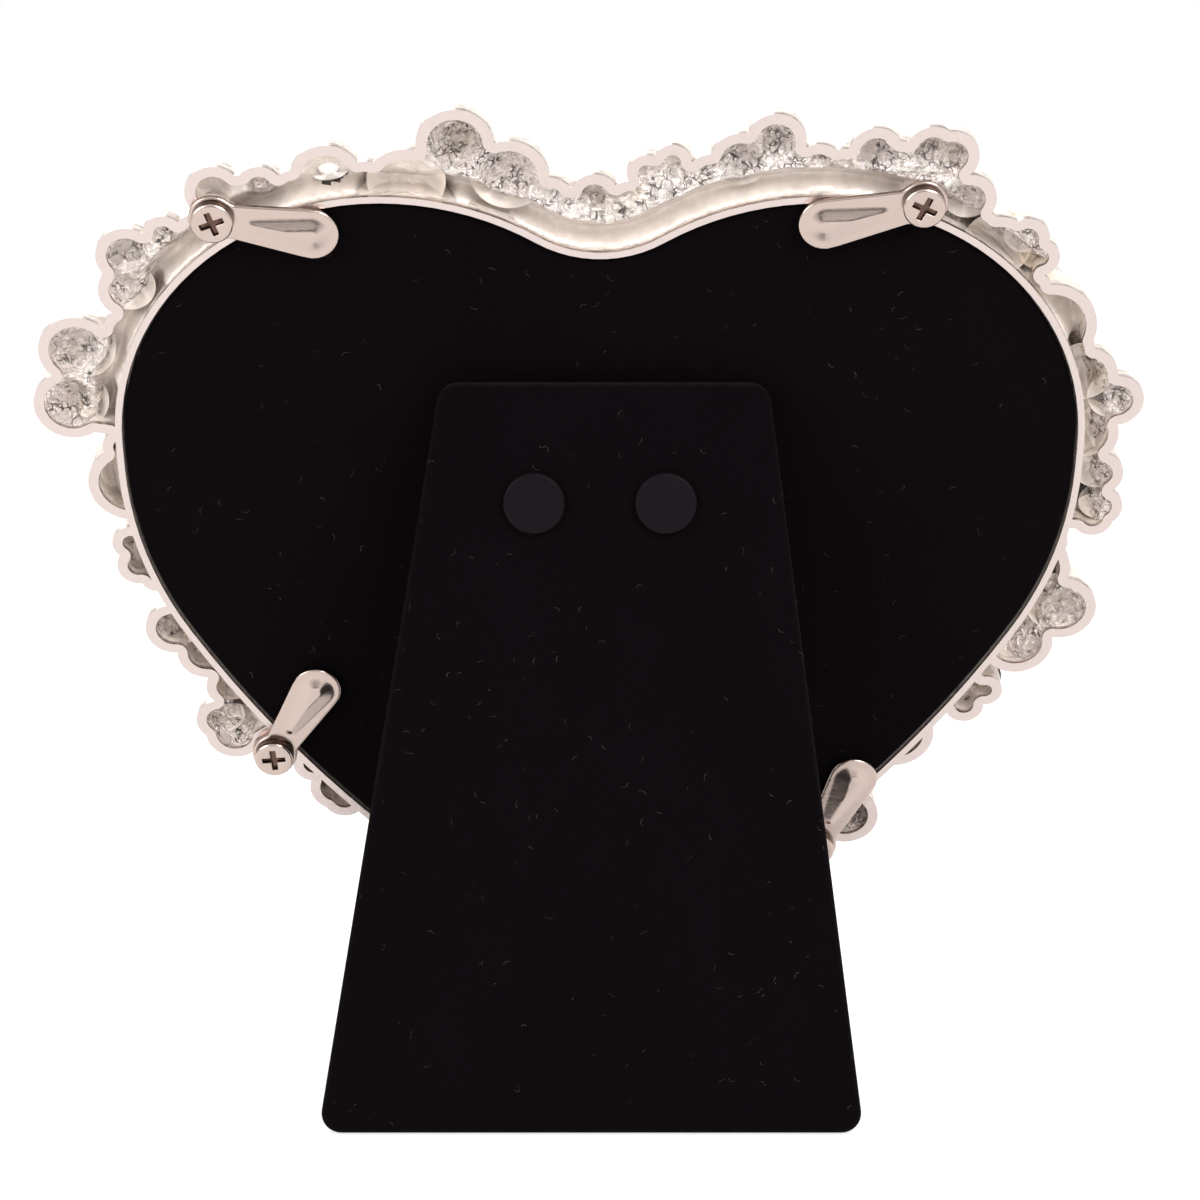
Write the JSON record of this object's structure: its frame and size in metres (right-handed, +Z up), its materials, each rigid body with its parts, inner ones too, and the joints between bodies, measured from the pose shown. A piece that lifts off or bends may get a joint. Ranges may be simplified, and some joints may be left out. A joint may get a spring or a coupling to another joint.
{
  "type": "heart shaped photo frame",
  "caption": "Heart-shaped cast metal photo frame with a blossom border, glass window, velvet back held by turn buttons, and a fold-out velvet easel.",
  "frame": {"origin": "middle of the foot of the casting, on the surface that the frame stands on", "axes": "+Z up, +Y from the window towards the easel at the back, +X to the right seen from the front"},
  "size_m": [0.1301, 0.0453, 0.1245],
  "materials": {
    "plated_casting": "silver-plated die casting, lightly tarnished",
    "nickel_steel": "nickel-plated, satin",
    "black_caps": "black-lacquered rivets, satin",
    "pearl": "pearl lacquer",
    "crystal": "faceted, clear",
    "window_glass": "polished, clear",
    "insert_paper": "matt",
    "grey_card": "raw",
    "lining_paper": "matt",
    "black_velvet": "short pile"
  },
  "bodies": {
    "frame": {"frame_casting": "plated_casting", "half_pearls": "pearl", "round_stones": "crystal", "oval_stone": "crystal", "glass_pane": "window_glass", "photo_print": "insert_paper", "filler_card": "grey_card", "backing_lining": "lining_paper", "backing_board": "grey_card", "backing_velvet": "black_velvet", "hinge_fixed_leaf": "nickel_steel", "backing_rivets": "nickel_steel", "hinge_pin": "nickel_steel", "turn_button_screws": "nickel_steel"},
    "easel": {"hinge_moving_leaf": "nickel_steel", "easel_rivets": "black_caps", "easel_lining": "lining_paper", "easel_board": "grey_card", "easel_velvet": "black_velvet"},
    "turn_button_top_left": {"turn_button_top_left": "nickel_steel"},
    "turn_button_top_right": {"turn_button_top_right": "nickel_steel"},
    "turn_button_bottom_left": {"turn_button_bottom_left": "nickel_steel"},
    "turn_button_bottom_right": {"turn_button_bottom_right": "nickel_steel"}
  },
  "joints": [
    {"name": "easel_fold", "type": "hinge", "parent": "frame", "child": "easel", "pos_m": [0, 0.02541, 0.08454], "axis": [-1, 0, 0], "range_deg": [0, 19.7]},
    {"name": "turn_button_top_left_turn", "type": "hinge", "parent": "frame", "child": "turn_button_top_left", "pos_m": [0.04373, 0.03221, 0.11126], "axis": [0, 0.9659, -0.2588], "continuous": true},
    {"name": "turn_button_top_right_turn", "type": "hinge", "parent": "frame", "child": "turn_button_top_right", "pos_m": [-0.03645, 0.0327, 0.11308], "axis": [0, 0.9659, -0.2588], "continuous": true},
    {"name": "turn_button_bottom_left_turn", "type": "hinge", "parent": "frame", "child": "turn_button_bottom_left", "pos_m": [0.04081, 0.01297, 0.03947], "axis": [0, 0.9659, -0.2588], "continuous": true},
    {"name": "turn_button_bottom_right_turn", "type": "hinge", "parent": "frame", "child": "turn_button_bottom_right", "pos_m": [-0.02746, 0.00928, 0.02568], "axis": [0, 0.9659, -0.2588], "continuous": true}
  ]
}
